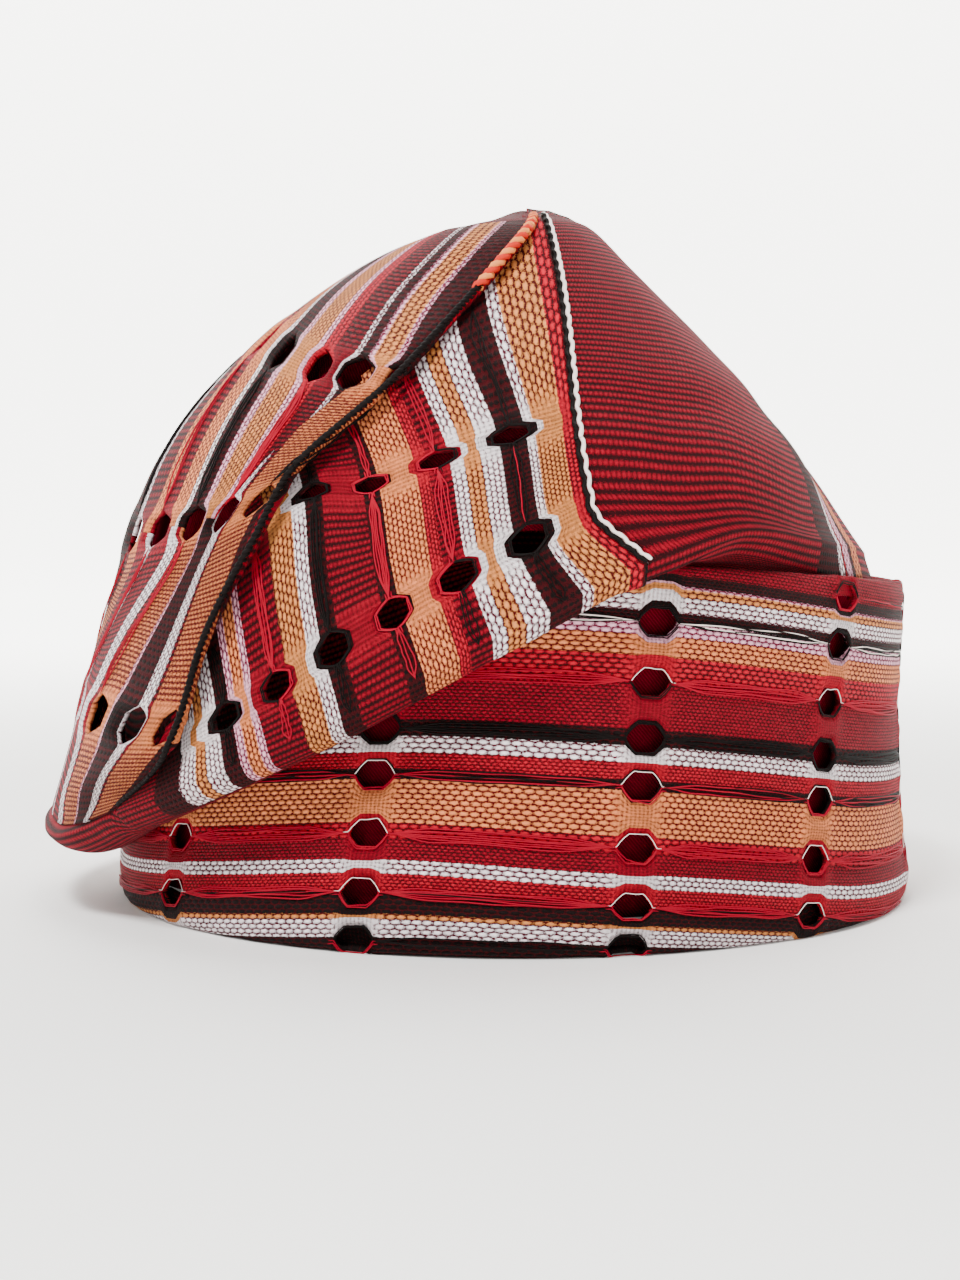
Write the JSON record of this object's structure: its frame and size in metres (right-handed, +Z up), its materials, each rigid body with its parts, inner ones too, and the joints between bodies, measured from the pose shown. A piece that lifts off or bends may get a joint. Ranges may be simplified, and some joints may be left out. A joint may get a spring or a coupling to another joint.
{
  "type": "fila cap",
  "caption": "Tall soft fila cap of striped red, orange, white and black openwork cloth, turned down over its left front above an upright band, with a maroon lining.",
  "frame": {"origin": "centre of the band's rim, on the surface that the cap rests on", "axes": "+Z up from the rim to the ridge of the crown, -Y towards the front of the cap, -X towards the side that the crown is turned down over"},
  "size_m": [0.2038, 0.1965, 0.16],
  "materials": {
    "striped_cloth": "striped openwork hand weave",
    "lining_cloth": "plain maroon weave"
  },
  "bodies": {
    "root": {"band": "striped_cloth", "band_lining": "lining_cloth", "crown": "striped_cloth", "crown_lining": "lining_cloth"}
  },
  "joints": []
}
